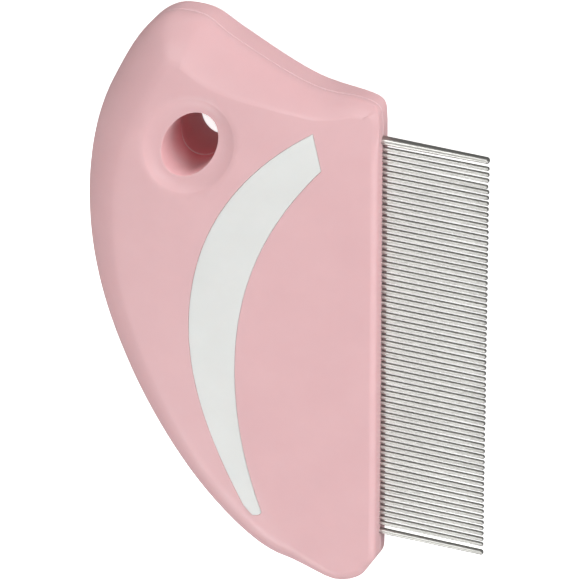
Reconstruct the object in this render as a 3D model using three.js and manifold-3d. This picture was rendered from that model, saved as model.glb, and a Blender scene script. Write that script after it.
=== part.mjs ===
// Flea comb: two moulded handle shells, white inlays, clamp plates and a row of steel hairpin teeth.
// Millimetres. X runs along the teeth, Y along the row, Z through the thickness.
// Modelled about the parting plane z = 0, then moved so that the lowest point sits on the origin's plane.
import * as THREE from "three";
import { ParametricGeometry } from "three/addons/geometries/ParametricGeometry.js";
import { mergeVertices } from "three/addons/utils/BufferGeometryUtils.js";
import Module from "manifold-3d";

const wasm = await Module();
wasm.setup();

// ---- teeth ----
const PITCH = 0.9;
const FINE_TEETH = 68;
const FINE_RADIUS = 0.33;
const TOOTH_LENGTH = 15.9;
const ROOT_DEPTH = 5;
const GUARD_Y = 31.45;
const HEAD_GUARD = { root: 0.67, tip: 0.5 };
const TAIL_GUARD = { root: 0.46, tip: 0.42 };

// ---- clamp plates that grip the wires ----
const PLATE = { depth: 6.4, halfLength: 30.75, inner: 0.34, outer: 1.25 };
const LIP = { depth: 0.8, height: 1.9 };
const SLIDE_GAP = 0.15;

// ---- handle ----
const WALL = 2;
const SOLID_FRONT = 9.4;
const PARTING_INSET = 2.2;
const HOLE = { x: -26.5, y: 28.5, long: 5.25, short: 3.65, tilt: THREE.MathUtils.degToRad(60) };
const DISH = { long: 7.5, short: 6.4, depth: 0.75 };
const TUBE_WALL = 1.8;
const POSTS = [
  [-13, 29.5],
  [-34.5, 8],
  [-29, -15],
  [-13.5, -30],
];
const POST_RADIUS = 2.6;
const PEG = { radius: 1.2, length: 3.5, clearance: 0.15 };
const RIBS = { pitch: 8.2, first: -32.8, last: 41, thickness: 1.2, recess: 0.3 };

// ---- inlay ----
const INLAY = { depth: 0.8, gap: 0.08, proud: -0.03 };
const STAKES = [
  [-17, 20],
  [-22, -10],
];
const STAKE = { radius: 1, length: 2.4, clearance: 0.15 };

// Handle outline: x, y, heading in degrees, Bezier handle before and after the point, then the edge
// there: height of its upright band, width of its rounding and how far the rounding sweeps.
const OUTLINE = [
  [0, 34.1, 97, 0, 1.8, 1.6, 0.9, 75],
  [-2.2, 37.4, 168, 2.4, 2.6, 2.1, 1.8, 64],
  [-9.6, 37.8, 169, 3.3, 4, 3.2, 2.5, 60],
  [-22.2, 43, 154, 3.9, 3.7, 3.4, 5.6, 58],
  [-30, 45.9, 184, 4.6, 4.7, 2.4, 6, 66],
  [-40.4, 33.7, 245, 7.3, 6.5, 1, 6.6, 80],
  [-44, 13.8, 272, 6.6, 9.1, 0.4, 6.8, 86],
  [-38, -10, 294, 8.1, 7.8, 0.4, 6.6, 86],
  [-25.5, -29.4, 312, 6.6, 4.9, 0.6, 5.6, 84],
  [-13.8, -37.8, 347, 4, 2.7, 0.8, 4.2, 80],
  [-6.3, -40, 353, 1.7, 1.8, 1.2, 2.4, 78],
  [-1.5, -37.5, 67, 1.6, 1.6, 1.5, 1.2, 76],
  [0, -34.3, 88, 1.8, 0, 1.6, 0.9, 75],
];
// The front half's edge values along the head wall, which is bevelled there for the thumb.
const HEAD_BEVEL = {
  1: [0.6, 2, 58],
  2: [0.4, 3, 52],
  3: [0.4, 5.4, 52],
  4: [0.6, 5.6, 58],
};
const SPAN_STEPS = 5;
const TOOTH_SIDE_STEPS = 14;
const EDGE_RINGS = 4;
const CROWN_RINGS = [0.8, 0.58, 0.36, 0.16];
const CENTRE = new THREE.Vector2(-17, 2);

// Half thickness: a flat facet that slopes down to the teeth, cut into a low dome over the palm that
// swells slightly round the hang hole.
const SWELL = { x: -29, y: 25, height: 0.55, spread: 162 };
const facet = (x) => 2.25 - 0.265 * x;
const swell = (x, y) =>
  SWELL.height * Math.exp(-((x - SWELL.x) ** 2 + (y - SWELL.y) ** 2) / SWELL.spread);
const dome = (x, y) =>
  8.6 - 0.0034 * (x + 38.5) ** 2 - 0.00105 * (y + 5.8) ** 2 + swell(x, y);
// Near the head corner the dome falls away from the facet more sharply.
const FALL = { height: 0.25, reach: 0.3 };
const ramp = (t) => THREE.MathUtils.smoothstep(t, 0, 1);
function halfThickness(x, y) {
  const below = facet(x) - dome(x, y);
  if (below <= 0) return facet(x);
  const fall = FALL.height * ramp((x + 14) / 8) * ramp((y - 18) / 8);
  return dome(x, y) - fall * (1 - Math.exp(-below / FALL.reach));
}

function solid(geometry) {
  const g = geometry.clone();
  g.deleteAttribute("normal");
  g.deleteAttribute("uv");
  const merged = mergeVertices(g, 1e-4);
  return new wasm.Manifold(
    new wasm.Mesh({
      numProp: 3,
      vertProperties: merged.attributes.position.array,
      triVerts: new Uint32Array(merged.index.array),
    }),
  );
}

function mesh(name, shape, material) {
  const m = shape.getMesh();
  const g = new THREE.BufferGeometry();
  g.setAttribute("position", new THREE.BufferAttribute(m.vertProperties, 3));
  g.setIndex(new THREE.BufferAttribute(m.triVerts, 1));
  g.computeVertexNormals();
  const part = new THREE.Mesh(g, material);
  part.name = name;
  return part;
}

const box = (x0, x1, y0, y1, z0, z1) =>
  solid(
    new THREE.BoxGeometry(x1 - x0, y1 - y0, z1 - z0).translate(
      (x0 + x1) / 2,
      (y0 + y1) / 2,
      (z0 + z1) / 2,
    ),
  );

const upright = (x, y, radius, z0, z1, sides = 12) =>
  solid(
    new THREE.CylinderGeometry(radius, radius, z1 - z0, sides)
      .rotateX(Math.PI / 2)
      .translate(x, y, (z0 + z1) / 2),
  );

// ---- outline ----
const heading = (a) => {
  const r = THREE.MathUtils.degToRad(a[2]);
  return new THREE.Vector2(Math.cos(r), Math.sin(r));
};

// bevels holds the edge values that replace the outline's own, by the number of the outline point.
function outlineSamples(bevels = {}) {
  const samples = [];
  const edges = OUTLINE.map((row, i) => bevels[i] ?? row.slice(5));
  for (let i = 0; i + 1 < OUTLINE.length; i++) {
    const a = OUTLINE[i];
    const b = OUTLINE[i + 1];
    const start = new THREE.Vector2(a[0], a[1]);
    const end = new THREE.Vector2(b[0], b[1]);
    const span = new THREE.CubicBezierCurve(
      start,
      start.clone().addScaledVector(heading(a), a[4]),
      end.clone().addScaledVector(heading(b), -b[3]),
      end,
    );
    for (let k = 0; k < SPAN_STEPS; k++) {
      const t = k / SPAN_STEPS;
      const s = t * t * (3 - 2 * t);
      const tangent = span.getTangent(t);
      const [band, width, sweep] = edges[i].map((v, j) => THREE.MathUtils.lerp(v, edges[i + 1][j], s));
      samples.push({
        p: span.getPoint(t),
        n: new THREE.Vector2(tangent.y, -tangent.x),
        band,
        width,
        sweep: THREE.MathUtils.degToRad(sweep),
      });
    }
  }
  const top = OUTLINE[0];
  const bottom = OUTLINE[OUTLINE.length - 1];
  for (let k = 0; k < TOOTH_SIDE_STEPS; k++) {
    samples.push({
      p: new THREE.Vector2(0, THREE.MathUtils.lerp(bottom[1], top[1], k / TOOTH_SIDE_STEPS)),
      n: new THREE.Vector2(1, 0),
      band: top[5],
      width: top[6],
      sweep: THREE.MathUtils.degToRad(top[7]),
    });
  }
  return samples;
}
const BACK_EDGE = outlineSamples();
const FRONT_EDGE = outlineSamples(HEAD_BEVEL);

// A point of the edge rounding; part 0 is the top of the upright band, part 1 meets the crown.
function edgePoint(sample, part, drop) {
  const angle = sample.sweep * part;
  const inward = (sample.width * (1 - Math.cos(angle))) / (1 - Math.cos(sample.sweep));
  const p = sample.p.clone().addScaledVector(sample.n, -inward);
  const rise = Math.sin(angle) / Math.sin(sample.sweep);
  const z = sample.band + (halfThickness(p.x, p.y) - sample.band) * rise;
  return new THREE.Vector3(p.x, p.y, z - drop);
}

// The handle above the plane z = base: from the base's centre out to the edge, up and over the crown.
// stride leaves samples out for surfaces that are never seen.
function halfBody(edge, drop = 0, base = 0, stride = 1) {
  const samples = edge.filter((_, i) => i % stride === 0);
  const stacks = 2 + EDGE_RINGS + CROWN_RINGS.length + 1;
  const place = (u, v, target) => {
    const sample = samples[Math.round(u * samples.length) % samples.length];
    const stack = Math.round(v * stacks);
    if (stack === 0) {
      target.set(CENTRE.x, CENTRE.y, base);
      return;
    }
    if (stack === 1) {
      target.set(sample.p.x, sample.p.y, base);
      return;
    }
    if (stack <= 2 + EDGE_RINGS) {
      target.copy(edgePoint(sample, (stack - 2) / EDGE_RINGS, drop));
      return;
    }
    const rim = edgePoint(sample, 1, drop);
    const scale = stack === stacks ? 0 : CROWN_RINGS[stack - 3 - EDGE_RINGS];
    const x = THREE.MathUtils.lerp(CENTRE.x, rim.x, scale);
    const y = THREE.MathUtils.lerp(CENTRE.y, rim.y, scale);
    target.set(x, y, halfThickness(x, y) - drop);
  };
  return solid(new ParametricGeometry(place, samples.length, stacks));
}

// ---- hang hole ----
// A closed oval plug through levels of [half length, half width, height]; a height may follow the crown.
function ovalPlug(levels, sides = 24) {
  const stacks = levels.length + 1;
  const place = (u, v, target) => {
    const stack = Math.round(v * stacks);
    const inner = stack === 0 || stack === stacks;
    const [long, short, height] = levels[Math.min(Math.max(stack - 1, 0), levels.length - 1)];
    const angle = 2 * Math.PI * u;
    const along = inner ? 0 : long * Math.cos(angle);
    const across = inner ? 0 : short * Math.sin(angle);
    const x = HOLE.x + along * Math.cos(HOLE.tilt) - across * Math.sin(HOLE.tilt);
    const y = HOLE.y + along * Math.sin(HOLE.tilt) + across * Math.cos(HOLE.tilt);
    target.set(x, y, typeof height === "function" ? height(x, y) : height);
  };
  return solid(new ParametricGeometry(place, sides, stacks));
}

function hangHole() {
  const above = (offset) => (x, y) => dome(x, y) + offset;
  return ovalPlug([
    [HOLE.long - 0.15, HOLE.short - 0.15, -1],
    [HOLE.long - 0.15, HOLE.short - 0.15, 0],
    [HOLE.long, HOLE.short, above(-DISH.depth)],
    [DISH.long, DISH.short, above(0)],
    [DISH.long + 0.3, DISH.short + 0.3, above(1)],
  ]);
}

function hangTube(clearance = 0) {
  const grow = TUBE_WALL + clearance;
  return ovalPlug([
    [HOLE.long + grow, HOLE.short + grow, -2],
    [HOLE.long + grow, HOLE.short + grow, 10],
  ]);
}

// ---- inlay ----
// The crescent between the facet's edge and an outer arc, with a slanted head and a rounded tail.
function crescentPoints(inset) {
  const path = new THREE.Path();
  path.moveTo(-7.5, 27);
  path.lineTo(-8.9, 32.5);
  path.bezierCurveTo(-20, 25.5, -26.2, 14, -26.3, 0.5);
  path.bezierCurveTo(-26.4, -10, -22.5, -19.5, -18.1, -29);
  path.bezierCurveTo(-17.7, -29.9, -15.4, -29.6, -15.9, -28.4);
  path.bezierCurveTo(-18, -21.5, -19.4, -14, -19.4, -6);
  path.bezierCurveTo(-19.4, 7, -15.6, 17.5, -7.5, 27);
  const points = path.getPoints(6).slice(0, -1);
  if (inset === 0) return points;
  return points.map((p, i) => {
    const before = points[(i + points.length - 1) % points.length];
    const after = points[(i + 1) % points.length];
    const t = after.clone().sub(before).normalize();
    return p.clone().add(new THREE.Vector2(-t.y, t.x).multiplyScalar(inset));
  });
}

const crescentPrism = (inset) =>
  solid(
    new THREE.ExtrudeGeometry(new THREE.Shape(crescentPoints(inset)), {
      depth: 12,
      bevelEnabled: false,
      steps: 1,
    }),
  );

function inlaySolid(edge) {
  const slab = crescentPrism(INLAY.gap)
    .intersect(halfBody(edge, -INLAY.proud))
    .subtract(halfBody(edge, INLAY.depth - INLAY.gap));
  return STAKES.reduce((shape, [x, y]) => {
    const top = halfThickness(x, y) - INLAY.depth / 2;
    return shape.add(upright(x, y, STAKE.radius, top - STAKE.length, top, 12));
  }, slab);
}

// ---- shells ----
// Stiffening ribs across the handle, which stop just short of the parting plane.
function ribs() {
  const list = [];
  for (let y = RIBS.first; y <= RIBS.last; y += RIBS.pitch) {
    const half = RIBS.thickness / 2;
    list.push(box(-45, -8, y - half, y + half, RIBS.recess, 12));
  }
  return list;
}

function cavity(edge) {
  const floor = edge.filter((s) => s.p.x < -1).map((s) =>
    s.p.clone().addScaledVector(s.n, -PARTING_INSET),
  );
  const prism = solid(
    new THREE.ExtrudeGeometry(new THREE.Shape(floor), {
      depth: 14,
      bevelEnabled: false,
      steps: 1,
    }).translate(0, 0, -2),
  );
  const hollow = prism
    .intersect(halfBody(edge, WALL, -1, 3))
    .subtract(box(-SOLID_FRONT, 5, -50, 50, -3, 14))
    .subtract(hangTube());
  const open = POSTS.reduce(
    (shape, [x, y]) => shape.subtract(upright(x, y, POST_RADIUS, -2, 12)),
    hollow,
  );
  return ribs().reduce((shape, rib) => shape.subtract(rib), open);
}

function toothSlot() {
  const g = SLIDE_GAP;
  const span = PLATE.halfLength + g;
  const channel = box(-PLATE.depth - g, 1, -span, span, -1, PLATE.outer + g);
  const groove = box(
    -PLATE.depth - LIP.depth - g,
    -PLATE.depth + g,
    -span,
    span,
    -1,
    LIP.height + g,
  );
  const guard = (y, radius) =>
    box(-ROOT_DEPTH - g, 1, y - radius - g, y + radius + g, -1, radius + g);
  return channel
    .add(groove)
    .add(guard(GUARD_Y, HEAD_GUARD.root))
    .add(guard(-GUARD_Y, TAIL_GUARD.root));
}

// One half of the handle, face up; the peg half carries the locating pegs, the other their sockets.
function shellSolid(edge, hasPegs) {
  const pocket = crescentPrism(0).subtract(halfBody(edge, INLAY.depth));
  let shape = halfBody(edge).subtract(cavity(edge)).subtract(toothSlot());
  shape = shape.subtract(hangHole()).subtract(pocket);
  for (const [x, y] of STAKES) {
    shape = shape.subtract(upright(x, y, STAKE.radius + STAKE.clearance, 1, 12, 12));
  }
  for (const [x, y] of POSTS) {
    shape = hasPegs
      ? shape.add(upright(x, y, PEG.radius, -PEG.length, 1))
      : shape.subtract(upright(x, y, PEG.radius + PEG.clearance, -1, PEG.length + 0.5));
  }
  return shape;
}

// ---- clamp plates ----
function clampPlate() {
  const bar = box(
    -PLATE.depth,
    -0.05,
    -PLATE.halfLength,
    PLATE.halfLength,
    PLATE.inner,
    PLATE.outer,
  );
  const lip = box(
    -PLATE.depth - LIP.depth,
    -PLATE.depth + 0.1,
    -PLATE.halfLength,
    PLATE.halfLength,
    PLATE.inner,
    LIP.height,
  );
  return bar.add(lip);
}

// ---- wires ----
// A round wire along stations of [x, y, heading of the wire, radius].
function wire(stations, sides = 8) {
  const place = (u, v, target) => {
    const [x, y, angle, radius] = stations[Math.round(v * (stations.length - 1))];
    const a = 2 * Math.PI * u;
    const side = radius * Math.cos(a);
    target.set(x - side * Math.sin(angle), y + side * Math.cos(angle), radius * Math.sin(a));
  };
  return solid(new ParametricGeometry(place, sides, stations.length - 1));
}

const tip = (y, angle, radius) => [
  [TOOTH_LENGTH, y, angle, 0],
  [TOOTH_LENGTH - 0.2 * radius, y, angle, 0.65 * radius],
  [TOOTH_LENGTH - 0.8 * radius, y, angle, radius],
];

// Two teeth in one: a wire with both tips forward, bent round at its root.
function hairpin(y) {
  const bend = [];
  const steps = 5;
  for (let i = 0; i <= steps; i++) {
    const turn = (Math.PI * i) / steps;
    const x = -ROOT_DEPTH - (PITCH / 2) * Math.sin(turn);
    bend.push([x, y + (PITCH / 2) * Math.cos(turn), Math.PI + turn, FINE_RADIUS]);
  }
  return wire([
    ...tip(y + PITCH / 2, Math.PI, FINE_RADIUS),
    ...bend,
    ...tip(y - PITCH / 2, 2 * Math.PI, FINE_RADIUS).reverse(),
  ]);
}

function guardTooth(y, { root, tip: end }) {
  return wire(
    [...tip(y, Math.PI, end), [-ROOT_DEPTH, y, Math.PI, root], [-ROOT_DEPTH, y, Math.PI, 0]],
    12,
  );
}

// ---- materials ----
const plastic = (colour, roughness) =>
  new THREE.MeshStandardMaterial({ color: colour, roughness, metalness: 0 });
const pink = () => plastic(0xe4b6ba, 0.42);
const white = () => plastic(0xe4e4e1, 0.4);
const steel = () =>
  new THREE.MeshStandardMaterial({ color: 0xb9b5ae, roughness: 0.3, metalness: 1 });

// ---- assembly ----
const comb = new THREE.Group();
comb.name = "flea_comb";
const flip = (shape) => shape.mirror([0, 0, 1]);

comb.add(mesh("front_shell", shellSolid(FRONT_EDGE, true), pink()));
comb.add(mesh("back_shell", flip(shellSolid(BACK_EDGE, false)), pink()));
comb.add(mesh("front_inlay", inlaySolid(FRONT_EDGE), white()));
comb.add(mesh("back_inlay", flip(inlaySolid(BACK_EDGE)), white()));
comb.add(mesh("front_clamp_plate", clampPlate(), pink()));
comb.add(mesh("back_clamp_plate", flip(clampPlate()), pink()));
comb.add(mesh("guard_tooth_head", guardTooth(GUARD_Y, HEAD_GUARD), steel()));
comb.add(mesh("guard_tooth_tail", guardTooth(-GUARD_Y, TAIL_GUARD), steel()));
for (let i = 0; i < FINE_TEETH / 2; i++) {
  const y = (FINE_TEETH / 2 - 1 - 2 * i) * PITCH;
  const number = String(i + 1).padStart(2, "0");
  comb.add(mesh(`tooth_pair_${number}`, hairpin(y), steel()));
}

// Origin: the middle of the comb's box in plan, at the height of its lowest point.
const bounds = new THREE.Box3().setFromObject(comb);
const middle = bounds.getCenter(new THREE.Vector3());
comb.position.set(-middle.x, -middle.y, -bounds.min.z);

export default comb;
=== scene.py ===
# Flea comb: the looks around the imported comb. Lengths below are in millimetres in the comb's own
# layout (x along the teeth from the handle's tooth side, y along the row, z from the parting plane)
# and are turned into the row frame's metres by place().
import math
import random

import bmesh
import bpy
import numpy as np
from mathutils import Matrix, Vector
from mathutils.geometry import delaunay_2d_cdt


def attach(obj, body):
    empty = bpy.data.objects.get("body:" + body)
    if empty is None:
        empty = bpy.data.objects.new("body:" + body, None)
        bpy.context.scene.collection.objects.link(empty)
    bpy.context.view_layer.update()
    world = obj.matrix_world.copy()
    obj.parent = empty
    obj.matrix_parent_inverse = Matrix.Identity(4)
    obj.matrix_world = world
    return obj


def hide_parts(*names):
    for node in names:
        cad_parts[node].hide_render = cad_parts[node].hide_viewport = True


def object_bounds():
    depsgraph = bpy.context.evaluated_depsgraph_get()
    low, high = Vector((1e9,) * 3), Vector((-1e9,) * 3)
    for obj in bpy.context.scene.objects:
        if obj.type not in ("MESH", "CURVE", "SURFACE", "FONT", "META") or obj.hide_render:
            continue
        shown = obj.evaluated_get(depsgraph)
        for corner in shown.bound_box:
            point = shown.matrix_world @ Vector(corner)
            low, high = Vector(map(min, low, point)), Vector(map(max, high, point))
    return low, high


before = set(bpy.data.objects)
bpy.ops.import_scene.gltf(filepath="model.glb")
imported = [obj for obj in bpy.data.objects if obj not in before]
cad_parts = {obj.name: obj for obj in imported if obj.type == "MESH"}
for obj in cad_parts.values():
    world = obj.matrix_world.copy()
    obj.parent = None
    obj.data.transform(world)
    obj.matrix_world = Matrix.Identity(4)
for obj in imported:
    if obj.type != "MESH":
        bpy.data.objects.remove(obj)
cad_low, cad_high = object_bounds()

random.seed(7)
MM = 0.001

# ---------------------------------------------------------------- layout
TOOTH_LENGTH = 15.9
HANDLE_TOP = 45.9
ORIGIN = Vector((
    cad_high[0] - TOOTH_LENGTH * MM,
    cad_high[1] - HANDLE_TOP * MM,
    (cad_low[2] + cad_high[2]) / 2,
))


def place(points):
    """Metres in the row frame; the fine outline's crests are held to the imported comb's box."""
    return np.clip(np.asarray(points, float) * MM + np.array(ORIGIN), cad_low, cad_high)


# ---------------------------------------------------------------- camera
LENS, SENSOR = 397.06, 36
CLIP = (0.01, 20)
CAMERA_OFFSET = Vector((0.2976, 0.4394, 0.7290))
CAMERA_RIGHT = Vector((0.919578, -0.000364, -0.392906))
CAMERA_AHEAD = Vector((-0.344688, -0.480731, -0.806281))


def make_camera():
    data = bpy.data.cameras.new("camera")
    data.lens = LENS
    data.sensor_width = SENSOR
    data.clip_start, data.clip_end = CLIP
    cam = bpy.data.objects.new("camera", data)
    bpy.context.scene.collection.objects.link(cam)
    right, ahead = CAMERA_RIGHT, CAMERA_AHEAD
    up = right.cross(ahead)
    cam.matrix_world = Matrix.Translation(CAMERA_OFFSET + ORIGIN) @ Matrix((
        (right.x, up.x, -ahead.x, 0),
        (right.y, up.y, -ahead.y, 0),
        (right.z, up.z, -ahead.z, 0),
        (0, 0, 0, 1),
    ))
    bpy.context.scene.camera = cam


make_camera()

# ---------------------------------------------------------------- handle shape
# x, y, heading in degrees, Bezier handle before and after; then the upright band's height, the
# rounding's width and its sweep in degrees.
OUTLINE = [
    (0, 34.1, 97, 0, 1.8, 1.6, 0.9, 75),
    (-2.2, 37.4, 168, 2.4, 2.6, 2.1, 1.8, 64),
    (-9.6, 37.8, 169, 3.3, 4, 3.2, 2.5, 60),
    (-22.2, 43, 154, 3.9, 3.7, 3.4, 5.6, 58),
    (-30, 45.9, 184, 4.6, 4.7, 2.4, 6, 66),
    (-40.4, 33.7, 245, 7.3, 6.5, 1, 6.6, 80),
    (-44, 13.8, 272, 6.6, 9.1, 0.4, 6.8, 86),
    (-38, -10, 294, 8.1, 7.8, 0.4, 6.6, 86),
    (-25.5, -29.4, 312, 6.6, 4.9, 0.6, 5.6, 84),
    (-13.8, -37.8, 347, 4, 2.7, 0.8, 4.2, 80),
    (-6.3, -40, 353, 1.7, 1.8, 1.2, 2.4, 78),
    (-1.5, -37.5, 67, 1.6, 1.6, 1.5, 1.2, 76),
    (0, -34.3, 88, 1.8, 0, 1.6, 0.9, 75),
]
# The front half's edge values along the head wall, where it is bevelled for the thumb.
HEAD_BEVEL = {1: (0.6, 2.0, 58), 2: (0.4, 3.0, 52), 3: (0.4, 5.4, 52), 4: (0.6, 5.6, 58)}
SPAN_STEPS = 30
SIDE_STEPS = 110
EDGE_RINGS = 16
LOBE_CENTRE = 4.2 * SPAN_STEPS
LOBE_SPREAD = 0.9 * SPAN_STEPS
LOBE_PASSES = 150


# The facet's plane, the dome's crest and its fall, the swell round the hole, and the extra fall near
# the head corner.
FACET_HEIGHT, FACET_SLOPE = 2.25, 0.265
DOME_TOP, DOME_CREST = 8.6, (-38.5, -5.8)
DOME_FALL = (0.0034, 0.00105)
SWELL_HEIGHT, SWELL_CENTRE, SWELL_SPREAD = 0.55, (-29, 25), 162
HEAD_FALL, HEAD_FALL_REACH = 0.25, 0.3


def smooth(t):
    t = np.clip(t, 0, 1)
    return t * t * (3 - 2 * t)


def facet(x):
    return FACET_HEIGHT - FACET_SLOPE * x


def dome(x, y):
    """The palm's crown, with a slight swell round the hang hole."""
    across, along = x - DOME_CREST[0], y - DOME_CREST[1]
    base = DOME_TOP - DOME_FALL[0] * across**2 - DOME_FALL[1] * along**2
    away = (x - SWELL_CENTRE[0]) ** 2 + (y - SWELL_CENTRE[1]) ** 2
    return base + SWELL_HEIGHT * np.exp(-away / SWELL_SPREAD)


def crown(x, y):
    """Half thickness: the facet, and the dome that falls away from it most sharply near the head."""
    below = np.maximum(facet(x) - dome(x, y), 0)
    head = HEAD_FALL * smooth((x + 14) / 8) * smooth((y - 18) / 8)
    return facet(x) - below - head * (1 - np.exp(-below / HEAD_FALL_REACH))


def bezier(p0, p1, p2, p3, t):
    t = t[:, None]
    s = 1 - t
    point = s**3 * p0 + 3 * s * s * t * p1 + 3 * s * t * t * p2 + t**3 * p3
    slope = 3 * s * s * (p1 - p0) + 6 * s * t * (p2 - p1) + 3 * t * t * (p3 - p2)
    return point, slope


def outline(bevels):
    """Points, outward normals, band heights, rounding widths and sweeps round the parting plane."""
    points, normals, edge = [], [], []
    values = [bevels.get(i, row[5:8]) for i, row in enumerate(OUTLINE)]
    t = np.arange(SPAN_STEPS) / SPAN_STEPS
    for a, b, ea, eb in zip(OUTLINE, OUTLINE[1:], values, values[1:]):
        ha, hb = math.radians(a[2]), math.radians(b[2])
        p0, p3 = np.array(a[:2], float), np.array(b[:2], float)
        p1 = p0 + a[4] * np.array((math.cos(ha), math.sin(ha)))
        p2 = p3 - b[3] * np.array((math.cos(hb), math.sin(hb)))
        p, d = bezier(p0, p1, p2, p3, t)
        d /= np.linalg.norm(d, axis=1)[:, None]
        points.append(p)
        normals.append(np.stack((d[:, 1], -d[:, 0]), 1))
        w = smooth(t)[:, None]
        edge.append(np.array(ea) * (1 - w) + np.array(eb) * w)
    t = np.arange(SIDE_STEPS)[:, None] / SIDE_STEPS
    low, high = np.array(OUTLINE[-1][:2]), np.array(OUTLINE[0][:2])
    points.append(low * (1 - t) + high * t)
    normals.append(np.tile((1.0, 0.0), (SIDE_STEPS, 1)))
    edge.append(np.tile(OUTLINE[0][5:8], (SIDE_STEPS, 1)))
    return np.concatenate(points), np.concatenate(normals), np.concatenate(edge)


def relaxed(normals):
    """Normals evened out round the head lobe, where straight ones would cross further in."""
    offset = (np.arange(len(normals)) - LOBE_CENTRE) / LOBE_SPREAD
    share = np.exp(-offset**2)[:, None]
    even = normals
    for _ in range(LOBE_PASSES):
        even = (np.roll(even, 1, 0) + even + np.roll(even, -1, 0)) / 3
    mixed = normals * (1 - share) + even * share
    return mixed / np.linalg.norm(mixed, axis=1)[:, None]


RIM, RIM_NORMAL, BACK_EDGE = outline({})
FRONT_EDGE = outline(HEAD_BEVEL)[2]
INWARD = -relaxed(RIM_NORMAL)


def edge_ring(edge, part):
    """The ring of the rounding at part 0 (top of the upright band) to 1 (where it meets the crown)."""
    sweep = np.radians(edge[:, 2])
    angle = sweep * part
    inward = edge[:, 1] * (1 - np.cos(angle)) / (1 - np.cos(sweep))
    p = RIM + INWARD * inward[:, None]
    band = edge[:, 0]
    z = band + (crown(p[:, 0], p[:, 1]) - band) * np.sin(angle) / np.sin(sweep)
    return np.column_stack((p, z))


def profile_height(edge, inward):
    """Height of the section at a distance in from the outline: the rounding, then the crown."""
    sweep = np.radians(edge[:, 2])
    p = RIM + INWARD * inward[:, None]
    top = crown(p[:, 0], p[:, 1])
    share = np.clip(inward / edge[:, 1], 0, 1)
    angle = np.arccos(1 - share * (1 - np.cos(sweep)))
    return edge[:, 0] + (top - edge[:, 0]) * np.sin(angle) / np.sin(sweep)


RIDGE_WEAR, RIDGE_SHARE, RIDGE_WIDER = 0.7, 0.14, 0.6
RIDGE_RINGS = 9


def ridge_reach(edge):
    """How far either side the ridge is worn: widest round the head lobe, where it fades out."""
    width, sweep = edge[:, 1], edge[:, 2]
    fade = smooth((sweep - 53) / 5) * smooth((80 - sweep) / 10)
    return np.minimum(RIDGE_WEAR, RIDGE_SHARE * width) * (1 + RIDGE_WIDER * fade)


def ridge_rings(edge):
    """Rings over the ridge where the rounding meets the crown, worn to a small radius."""
    width = edge[:, 1]
    reach = ridge_reach(edge)
    rings = []
    for s in np.linspace(-1, 1, RIDGE_RINGS):
        inward = width + reach * s
        spread = reach * 0.8 * (1 - s * s)
        heights = [profile_height(edge, inward + spread * k) for k in np.linspace(-1, 1, 9)]
        rings.append(np.column_stack((RIM + INWARD * inward[:, None], np.mean(heights, 0))))
    return rings


# ---------------------------------------------------------------- hang hole
HOLE = (-26.5, 28.5)
HOLE_TILT = math.radians(60)
HOLE_LONG, HOLE_SHORT = 5.25, 3.65
DISH_GROW = (2.3, 2.8)
DISH_DEPTH = 0.75
LIP_RADIUS = 0.15
LEDGE = 0.07
HOLE_SIDES = 120


def oval(long, short):
    a = 2 * np.pi * np.arange(HOLE_SIDES) / HOLE_SIDES
    u, v = long * np.cos(a), short * np.sin(a)
    c, s = math.cos(HOLE_TILT), math.sin(HOLE_TILT)
    return np.column_stack((HOLE[0] + u * c - v * s, HOLE[1] + u * s + v * c))


def hole_rings(ledge):
    """Rings from the dish's outer edge to the parting plane, where a ledge may show on the tail side."""
    rings = []
    for s in np.linspace(1, 0, 11):
        grow = [LIP_RADIUS + s * (g - LIP_RADIUS) for g in DISH_GROW]
        p = oval(HOLE_LONG + grow[0], HOLE_SHORT + grow[1])
        rings.append(np.column_stack((p, crown(*p.T) - DISH_DEPTH * (1 - s * s))))
    for angle in np.radians(np.linspace(15, 90, 6)):
        grow = LIP_RADIUS * (1 - math.sin(angle))
        p = oval(HOLE_LONG + grow, HOLE_SHORT + grow)
        fall = DISH_DEPTH + LIP_RADIUS * (1 - math.cos(angle))
        rings.append(np.column_stack((p, crown(*p.T) - fall)))
    top = rings[-1][:, 2]
    wall = rings[-1][:, :2]
    for s in (0.75, 0.5, 0.25):
        rings.append(np.column_stack((wall, top * s)))
    inward = np.array(HOLE) - wall
    inward /= np.linalg.norm(inward, axis=1)[:, None]
    share = 0.05 + 0.95 * ((1 + inward[:, 1:]) / 2) ** 4
    shelf = wall + inward * ledge * share
    flash = top * share[:, 0]
    rings.append(np.column_stack((wall, flash * 0.02)))
    rings.append(np.column_stack((shelf, flash * 0.015)))
    rings.append(np.column_stack((shelf, flash * 0)))
    return rings


# ---------------------------------------------------------------- inlay outline
CRESCENT = [
    ((-7.5, 27), (-8.9, 32.5)),
    ((-8.9, 32.5), (-20, 25.5), (-26.2, 14), (-26.3, 0.5)),
    ((-26.3, 0.5), (-26.4, -10), (-22.5, -19.5), (-18.1, -29)),
    ((-18.1, -29), (-17.7, -29.9), (-15.4, -29.6), (-15.9, -28.4)),
    ((-15.9, -28.4), (-18, -21.5), (-19.4, -14), (-19.4, -6)),
    ((-19.4, -6), (-19.4, 7), (-15.6, 17.5), (-7.5, 27)),
]
CRESCENT_STEPS = (8, 44, 40, 10, 34, 46)


def crescent(inset=0.0):
    points = []
    for span, steps in zip(CRESCENT, CRESCENT_STEPS):
        t = np.arange(steps) / steps
        if len(span) == 2:
            a, b = np.array(span, float)
            points.append(a * (1 - t[:, None]) + b * t[:, None])
        else:
            points.append(bezier(*np.array(span, float), t)[0])
    p = np.concatenate(points)
    if inset:
        d = np.roll(p, -1, 0) - np.roll(p, 1, 0)
        d /= np.linalg.norm(d, axis=1)[:, None]
        p = p + inset * np.column_stack((-d[:, 1], d[:, 0]))
    return p


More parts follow.
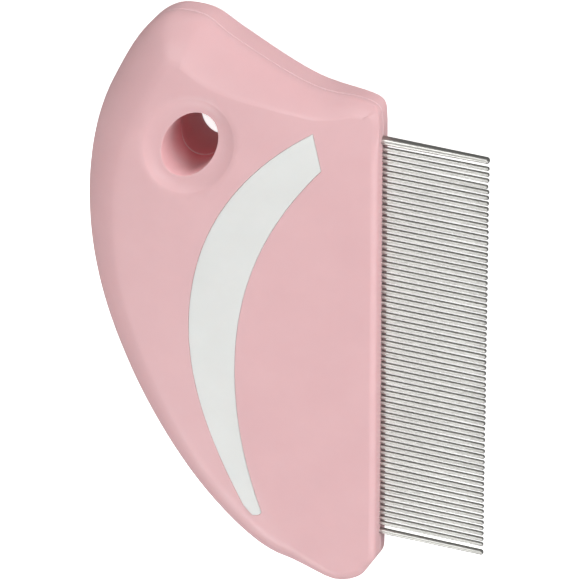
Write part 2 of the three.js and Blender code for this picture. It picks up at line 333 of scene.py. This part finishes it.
# ---------------------------------------------------------------- mesh helpers
def inside(points, loop):
    """Even-odd test of points against a closed loop."""
    x, y = points[:, 0:1], points[:, 1:2]
    x0, y0 = loop[:, 0], loop[:, 1]
    x1, y1 = np.roll(x0, -1), np.roll(y0, -1)
    spans = (y0 > y) != (y1 > y)
    with np.errstate(divide="ignore", invalid="ignore"):
        cut = x0 + (y - y0) * (x1 - x0) / (y1 - y0)
    return np.count_nonzero(spans & (x < cut), axis=1) % 2 == 1


def clear_of(points, loop, gap):
    keep = np.ones(len(points), bool)
    for i in range(0, len(points), 400):
        d = np.linalg.norm(points[i:i + 400, None] - loop[None], axis=2).min(1)
        keep[i:i + 400] = d > gap
    return points[keep]


def fill(outer, holes=(), spacing=1.0):
    """Triangles of the plane region inside outer and outside the holes."""
    loops = [outer, *holes]
    low, high = outer.min(0), outer.max(0)
    rows = np.arange(low[1], high[1], spacing * 0.866)
    grid = np.concatenate([
        np.column_stack((np.arange(low[0] + (i % 2) * spacing / 2, high[0], spacing),) * 2)
        * (1, 0) + (0, y) for i, y in enumerate(rows)
    ])
    grid = grid[inside(grid, outer)]
    for loop in holes:
        grid = grid[~inside(grid, loop)]
    for loop in loops:
        grid = clear_of(grid, loop, spacing * 0.55)
    coords, edges = [], []
    for loop in loops:
        n = len(coords)
        coords += loop.tolist()
        edges += [(n + i, n + (i + 1) % len(loop)) for i in range(len(loop))]
    coords += grid.tolist()
    verts, _, faces, *_ = delaunay_2d_cdt([Vector(c) for c in coords], edges, [], 0, 1e-5)
    v = np.array([tuple(q) for q in verts])
    f = np.array([tuple(q) for q in faces])
    middle = v[f].mean(1)
    keep = inside(middle, outer)
    for loop in holes:
        keep &= ~inside(middle, loop)
    return v, f[keep]


class Builder:
    """Collects surfaces in millimetres and joins them into one smooth-shaded object."""

    def __init__(self):
        self.verts, self.faces, self.slots = [], [], []
        self.count = 0

    def add(self, verts, faces, slot=0):
        self.verts.append(np.asarray(verts, float))
        self.faces += [tuple(int(i) + self.count for i in f) for f in faces]
        self.slots += [slot] * len(faces)
        self.count += len(verts)

    def strip(self, rings, slot=0):
        """A skin over successive rings with equal counts."""
        n = len(rings[0])
        faces = []
        for k in range(len(rings) - 1):
            for i in range(n):
                j = (i + 1) % n
                faces.append((k * n + i, k * n + j, (k + 1) * n + j, (k + 1) * n + i))
        self.add(np.concatenate(rings), faces, slot)

    def object(self, name, materials, flip=False, sharp=40, merge=2e-6):
        verts = np.concatenate(self.verts)
        if flip:
            verts = verts * (1, 1, -1)
        mesh = bpy.data.meshes.new(name)
        mesh.from_pydata(place(verts).tolist(), [], self.faces)
        mesh.polygons.foreach_set("material_index", self.slots)
        bm = bmesh.new()
        bm.from_mesh(mesh)
        bmesh.ops.remove_doubles(bm, verts=bm.verts, dist=merge)
        bmesh.ops.dissolve_degenerate(bm, edges=bm.edges, dist=1e-8)
        bmesh.ops.recalc_face_normals(bm, faces=bm.faces)
        for e in bm.edges:
            e.smooth = len(e.link_faces) != 2 or e.calc_face_angle(0) < math.radians(sharp)
        for face in bm.faces:
            face.smooth = True
        bm.to_mesh(mesh)
        bm.free()
        obj = bpy.data.objects.new(name, mesh)
        bpy.context.scene.collection.objects.link(obj)
        for material in materials:
            mesh.materials.append(material)
        return obj


# ---------------------------------------------------------------- materials
def new_material(name):
    mat = bpy.data.materials.new(name)
    mat.use_nodes = True
    nodes, links = mat.node_tree.nodes, mat.node_tree.links
    return mat, nodes, links, nodes["Principled BSDF"]


def noise(nodes, links, coords, scale, detail=3.0, rough=0.5):
    n = nodes.new("ShaderNodeTexNoise")
    n.inputs["Scale"].default_value = scale
    n.inputs["Detail"].default_value = detail
    n.inputs["Roughness"].default_value = rough
    links.new(coords, n.inputs["Vector"])
    return n.outputs["Fac"]


def ramp(nodes, links, source, stops):
    r = nodes.new("ShaderNodeValToRGB")
    e = r.color_ramp.elements
    while len(e) < len(stops):
        e.new(0.5)
    for item, (position, colour) in zip(e, stops):
        item.position = position
        item.color = colour
    links.new(source, r.inputs["Fac"])
    return r.outputs["Color"]


def bump(nodes, links, height, strength, distance, normal=None):
    b = nodes.new("ShaderNodeBump")
    b.inputs["Strength"].default_value = strength
    b.inputs["Distance"].default_value = distance
    links.new(height, b.inputs["Height"])
    if normal is not None:
        links.new(normal, b.inputs["Normal"])
    return b.outputs["Normal"]


# Heights over the parting plane, in metres, where the bore's painted shade starts and ends: the bore is
# painted darker between them, as shade deep in the hole.
BORE_SHADE_BACK, BORE_SHADE_FRONT = -0.0076, 0.0037


def bore_painted_shade(nodes, links, coords, colour, painted_shade):
    """Painted shade in the bore: its colour at both mouths, turning to the darker shade colour between
    them.
    """
    split = nodes.new("ShaderNodeSeparateXYZ")
    links.new(coords, split.inputs["Vector"])
    offset = nodes.new("ShaderNodeMath")
    offset.operation = "SUBTRACT"
    offset.inputs[1].default_value = ORIGIN.z
    links.new(split.outputs["Z"], offset.inputs[0])
    depth = nodes.new("ShaderNodeMapRange")
    depth.inputs["From Min"].default_value = BORE_SHADE_BACK
    depth.inputs["From Max"].default_value = BORE_SHADE_FRONT
    links.new(offset.outputs["Value"], depth.inputs["Value"])
    black, white = (0, 0, 0, 1), (1, 1, 1, 1)
    stops = [(0, black), (0.1, white), (0.7, white), (1, black)]
    share = ramp(nodes, links, depth.outputs["Result"], stops)
    mix = nodes.new("ShaderNodeMix")
    mix.data_type = "RGBA"
    mix.inputs["B"].default_value = painted_shade
    links.new(share, mix.inputs["Factor"])
    links.new(colour, mix.inputs["A"])
    return mix.outputs["Result"]


def moulded_plastic(name, dark, light, roughness, scatter, painted_shade=None):
    """Satin injection-moulded plastic: cloudy pigment, a fine spark texture and faint scuffs."""
    mat, nodes, links, shader = new_material(name)
    coords = nodes.new("ShaderNodeTexCoord").outputs["Object"]
    cloud = noise(nodes, links, coords, 140, 4, 0.6)
    colour = ramp(nodes, links, cloud, [(0.3, dark), (0.7, light)])
    # painted shade: given a shade colour, the bore is painted darker between its mouths
    if painted_shade:
        colour = bore_painted_shade(nodes, links, coords, colour, painted_shade)
    links.new(colour, shader.inputs["Base Color"])
    scuff = noise(nodes, links, coords, 420, 5, 0.65)
    rough = nodes.new("ShaderNodeMapRange")
    rough.inputs["From Min"].default_value = 0.3
    rough.inputs["From Max"].default_value = 0.7
    rough.inputs["To Min"].default_value = roughness - 0.05
    rough.inputs["To Max"].default_value = roughness + 0.05
    links.new(scuff, rough.inputs["Value"])
    links.new(rough.outputs["Result"], shader.inputs["Roughness"])
    grain = noise(nodes, links, coords, 3500, 2, 0.5)
    wave = noise(nodes, links, coords, 90, 2, 0.5)
    n = bump(nodes, links, wave, 0.25, 0.0002)
    links.new(bump(nodes, links, grain, 0.12, 0.00003, n), shader.inputs["Normal"])
    shader.inputs["Subsurface Weight"].default_value = scatter
    shader.inputs["Subsurface Radius"].default_value = (0.0022, 0.0012, 0.001)
    shader.inputs["Subsurface Scale"].default_value = 1.0
    shader.inputs["IOR"].default_value = 1.46
    return mat


def tooth_steel(name):
    """Drawn stainless wire: lengthwise draw marks over a neutral, slightly warm metal."""
    mat, nodes, links, shader = new_material(name)
    coords = nodes.new("ShaderNodeTexCoord").outputs["Object"]
    stretch = nodes.new("ShaderNodeMapping")
    stretch.inputs["Scale"].default_value = (60, 5000, 5000)
    links.new(coords, stretch.inputs["Vector"])
    marks = noise(nodes, links, stretch.outputs["Vector"], 1.0, 3, 0.6)
    links.new(
        ramp(nodes, links, marks, [(0.3, (0.385, 0.38, 0.36, 1)), (0.7, (0.52, 0.515, 0.49, 1))]),
        shader.inputs["Base Color"],
    )
    rough = nodes.new("ShaderNodeMapRange")
    rough.inputs["To Min"].default_value = 0.3
    rough.inputs["To Max"].default_value = 0.44
    links.new(marks, rough.inputs["Value"])
    links.new(rough.outputs["Result"], shader.inputs["Roughness"])
    links.new(bump(nodes, links, marks, 0.15, 0.00001), shader.inputs["Normal"])
    shader.inputs["Metallic"].default_value = 1.0
    return mat


PINK = moulded_plastic(
    "pink_plastic", (0.725, 0.44, 0.458, 1), (0.75, 0.462, 0.478, 1), 0.42, 0.12
)
# The bore's plastic with painted shade: it darkens to a deep red between the mouths, where the hole lies
# in shade.
BORE_PAINTED_SHADE = moulded_plastic(
    "pink_plastic_bore_painted_shade", (0.74, 0.43, 0.45, 1), (0.77, 0.46, 0.48, 1), 0.5, 0.12,
    (0.8, 0.28, 0.31, 1),
)
# The flash ledge inside the hole, painted lighter than the body as a painted highlight where light
# catches its top face.
FLASH_HIGHLIGHT = moulded_plastic(
    "pink_plastic_flash_painted_highlight", (0.95, 0.61, 0.63, 1), (0.97, 0.66, 0.68, 1), 0.35, 0.12
)
# The seam chamfer, painted lighter than the body: painted light that offsets the chamfer's shade and
# shows a light mould line.
SEAM_PAINTED_LIGHT = moulded_plastic(
    "pink_plastic_seam_painted_light", (0.78, 0.51, 0.53, 1), (0.81, 0.54, 0.555, 1), 0.4, 0.12
)
WHITE = moulded_plastic(
    "white_plastic", (0.735, 0.735, 0.715, 1), (0.765, 0.765, 0.745, 1), 0.4, 0.1
)
STEEL = tooth_steel("tooth_steel")

# ---------------------------------------------------------------- shells
SEAM = 0.1
POCKET = 0.6
BORE_SHADE_SLOT, FLASH_HIGHLIGHT_SLOT, SEAM_LIGHT_SLOT = 1, 2, 3  # material slots after the plain pink


def shell_surface(edge, ledge):
    b = Builder()
    ridge = ridge_rings(edge)
    inner = ridge[-1]
    sweep = np.radians(edge[:, 2])
    share = 1 - ridge_reach(edge) / edge[:, 1]
    last = np.arccos(1 - share * (1 - np.cos(sweep))) / sweep
    dish = hole_rings(ledge)
    ring = crescent()
    v, f = fill(inner[:, :2], [dish[0][:, :2], ring], 0.9)
    b.add(np.column_stack((v, crown(*v.T))), f)
    b.strip([edge_ring(edge, last * s) for s in np.linspace(0, 1, EDGE_RINGS + 1)])
    b.strip(ridge)
    b.strip(dish[:14])
    # the bore's wall carries the painted shade
    b.strip(dish[13:-2], BORE_SHADE_SLOT)
    # the flash ledge is painted lighter as a painted highlight
    b.strip(dish[-3:], FLASH_HIGHLIGHT_SLOT)
    # inlay pocket
    lip = crescent(0.04)
    floor = crescent(0.05)
    b.strip([
        np.column_stack((ring, crown(*ring.T))),
        np.column_stack((lip, crown(*lip.T) - 0.06)),
        np.column_stack((floor, crown(*floor.T) - POCKET)),
    ])
    v, f = fill(floor, spacing=1.4)
    b.add(np.column_stack((v, crown(*v.T) - POCKET)), f)
    # upright band with the seam's small chamfer at the parting plane, the chamfer painted lighter as
    # painted light
    base = RIM - RIM_NORMAL * SEAM
    band = [np.column_stack((base, np.zeros(len(base))))]
    for s in (0, 0.3, 0.65, 1):
        band.append(np.column_stack((RIM, SEAM + (edge[:, 0] - SEAM) * s)))
    b.strip(band[:2], SEAM_LIGHT_SLOT)
    b.strip(band[1:])
    v, f = fill(base, [dish[-1][:, :2]], spacing=3)
    b.add(np.column_stack((v, np.zeros(len(v)))), f)
    return b


def make_shells():
    halves = (("front_shell", False, FRONT_EDGE, 0), ("back_shell", True, BACK_EDGE, LEDGE))
    for name, flip, edge, ledge in halves:
        obj = shell_surface(edge, ledge).object(name + "_skin", (PINK, BORE_PAINTED_SHADE, FLASH_HIGHLIGHT, SEAM_PAINTED_LIGHT), flip)
        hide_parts(name)
        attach(obj, "root")


# ---------------------------------------------------------------- inlays
INLAY_DEPTH, INLAY_RECESS = 0.55, 0.03
# Inset and depth below the crown from the inlay's underside round its worn edge to its face.
INLAY_EDGE = ((0.06, INLAY_DEPTH), (0.06, 0.12), (0.08, 0.07), (0.12, 0.04), (0.18, INLAY_RECESS))


def inlay_surface():
    b = Builder()
    rings = []
    for inset, fall in INLAY_EDGE:
        p = crescent(inset)
        rings.append(np.column_stack((p, crown(*p.T) - fall)))
    b.strip(rings)
    v, f = fill(rings[-1][:, :2], spacing=0.9)
    b.add(np.column_stack((v, crown(*v.T) - INLAY_RECESS)), f)
    v, f = fill(rings[0][:, :2], spacing=1.4)
    b.add(np.column_stack((v, crown(*v.T) - INLAY_DEPTH)), f)
    return b


def make_inlays():
    for name, flip in (("front_inlay", False), ("back_inlay", True)):
        obj = inlay_surface().object(name + "_piece", (WHITE,), flip)
        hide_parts(name)
        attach(obj, "root")


# ---------------------------------------------------------------- teeth
PITCH = 0.9
PAIRS = 34
FINE_RADIUS = 0.33
ROOT_DEPTH = 5.0
GUARD_Y = 31.45
GUARD_DEPTH = 4.9
HEAD_GUARD = (0.67, 0.5)
TAIL_GUARD = (0.46, 0.42)
POINT = 1e-4
WIRE_SIDES = 18
BENT_PAIR = 1  # its second tooth is slightly bent and short


def wire(stations, name):
    """A round wire along stations of (x, y, z, heading, radius)."""
    a = 2 * np.pi * np.arange(WIRE_SIDES) / WIRE_SIDES
    rings = []
    for x, y, z, heading, radius in stations:
        side = radius * np.cos(a)
        rings.append(np.column_stack((
            x - side * math.sin(heading), y + side * math.cos(heading), z + radius * np.sin(a),
        )))
    b = Builder()
    b.strip(rings)
    return b.object(name, (STEEL,), sharp=50)


def tip(y, heading, radius, reach, drift):
    """A ground and polished tip, from its end back to the straight wire."""
    y_end = y + drift
    stations = [(reach, y_end, 0, heading, POINT)]
    for angle in np.radians((25, 50, 70, 90)):
        back = 0.9 * radius * (1 - math.cos(angle))
        stations.append((reach - back, y_end, 0, heading, radius * math.sin(angle)))
    for s in (0.8, 0.5, 0.25):
        stations.append((reach * s, y + drift * smooth(s), 0, heading, radius))
    return stations


def make_teeth():
    for i in range(PAIRS):
        y = (PAIRS - 1 - 2 * i) * PITCH
        reach = [TOOTH_LENGTH - random.uniform(0, 0.06) for _ in range(2)]
        drift = [random.uniform(-0.025, 0.025) for _ in range(2)]
        if i == BENT_PAIR:
            reach[1] -= 0.15
            drift[1] = -0.12
        bend = []
        for turn in np.linspace(0, math.pi, 13):
            x = -ROOT_DEPTH - PITCH / 2 * math.sin(turn)
            bend.append((x, y + PITCH / 2 * math.cos(turn), 0, math.pi + turn, FINE_RADIUS))
        ahead = tip(y + PITCH / 2, math.pi, FINE_RADIUS, reach[0], drift[0])
        back = tip(y - PITCH / 2, 2 * math.pi, FINE_RADIUS, reach[1], drift[1])
        obj = wire(ahead + bend + back[::-1], f"tooth_pair_{i + 1:02d}_wire")
        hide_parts(f"tooth_pair_{i + 1:02d}")
        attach(obj, "root")
    for name, y, (root, end) in (
        ("guard_tooth_head", GUARD_Y, HEAD_GUARD),
        ("guard_tooth_tail", -GUARD_Y, TAIL_GUARD),
    ):
        stations = tip(y, math.pi, end, TOOTH_LENGTH, 0)[:5]
        for s in (0.85, 0.6, 0.3, 0.1, 0):
            stations.append((TOOTH_LENGTH * s, y, 0, math.pi, root + (end - root) * s))
        stations += [(-GUARD_DEPTH, y, 0, math.pi, root), (-GUARD_DEPTH, y, 0, math.pi, POINT)]
        obj = wire(stations, name + "_wire")
        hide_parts(name)
        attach(obj, "root")


# ---------------------------------------------------------------- carried-over nodes
def dress_plates():
    for name in ("front_clamp_plate", "back_clamp_plate"):
        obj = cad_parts[name]
        obj.data.materials.clear()
        obj.data.materials.append(PINK)


# ---------------------------------------------------------------- stage
FLOOR_REACH = 3.0
FLOOR_GLOW = 0.8
SKY_STRENGTH = 0.237


def make_stage():
    mesh = bpy.data.meshes.new("floor")
    r = FLOOR_REACH
    mesh.from_pydata([(-r, -r, 0), (r, -r, 0), (r, r, 0), (-r, r, 0)], [], [(0, 1, 2, 3)])
    floor = bpy.data.objects.new("floor", mesh)
    bpy.context.scene.collection.objects.link(floor)
    mat, nodes, links, shader = new_material("floor_white")
    shader.inputs["Base Color"].default_value = (0.9, 0.9, 0.9, 1)
    shader.inputs["Roughness"].default_value = 0.9
    shader.inputs["Emission Color"].default_value = (1, 1, 1, 1)
    shader.inputs["Emission Strength"].default_value = FLOOR_GLOW
    mesh.materials.append(mat)
    floor.visible_diffuse = False
    floor.visible_glossy = False


# Round soft lights about the comb: azimuth and elevation in degrees, watts, size, and whether they
# light surfaces or show in their gloss.
SOFT_LIGHTS = [
    (40, 13, 4.4, 0.38, "diffuse"), (252, 32, 3.5, 0.38, "diffuse"), (120, 13, 2.46, 0.38, "diffuse"),
    (36, 32, 1.35, 0.14, "diffuse"), (240, 60, 0.95, 0.38, "diffuse"), (240, 13, 0.9, 0.38, "diffuse"),
    (324, 32, 0.69, 0.38, "diffuse"), (160, 13, 0.63, 0.38, "diffuse"), (72, 32, 0.45, 0.38, "diffuse"),
    (352, 4, 1.8, 0.38, "diffuse"), (127, 55, 2.0, 0.38, "glossy"), (327, 30, 2.0, 0.38, "glossy"),
    (23, 75, 2.0, 0.38, "glossy"), (252, 34, 0.35, 0.16, "glossy"), (60, 80, 1.8, 1.6, "glossy"),
    (64, 67, 0.8, 0.3, "glossy"), (246, 37, 2.3, 0.52, "glossy"),
]
LIGHT_DISTANCE = 0.9


def make_light():
    scene = bpy.context.scene
    world = bpy.data.worlds.new("world")
    scene.world = world
    world.use_nodes = True
    sky = world.node_tree.nodes["Background"]
    sky.inputs["Color"].default_value = (1, 1, 1, 1)
    sky.inputs["Strength"].default_value = SKY_STRENGTH
    for azimuth, elevation, watts, size, kind in SOFT_LIGHTS:
        a, e = math.radians(azimuth), math.radians(elevation)
        out = Vector((math.cos(e) * math.cos(a), math.cos(e) * math.sin(a), math.sin(e)))
        data = bpy.data.lights.new("soft_light", "AREA")
        data.shape = "DISK"
        data.size = size
        data.energy = watts
        light = bpy.data.objects.new("soft_light", data)
        light.visible_diffuse = kind == "diffuse"
        light.visible_glossy = kind == "glossy"
        scene.collection.objects.link(light)
        light.location = out * LIGHT_DISTANCE + Vector((0, 0, ORIGIN.z))
        light.rotation_euler = (-out).to_track_quat("-Z", "Y").to_euler()
    scene.view_settings.view_transform = "Standard"


make_shells()
make_inlays()
make_teeth()
dress_plates()
make_stage()
make_light()
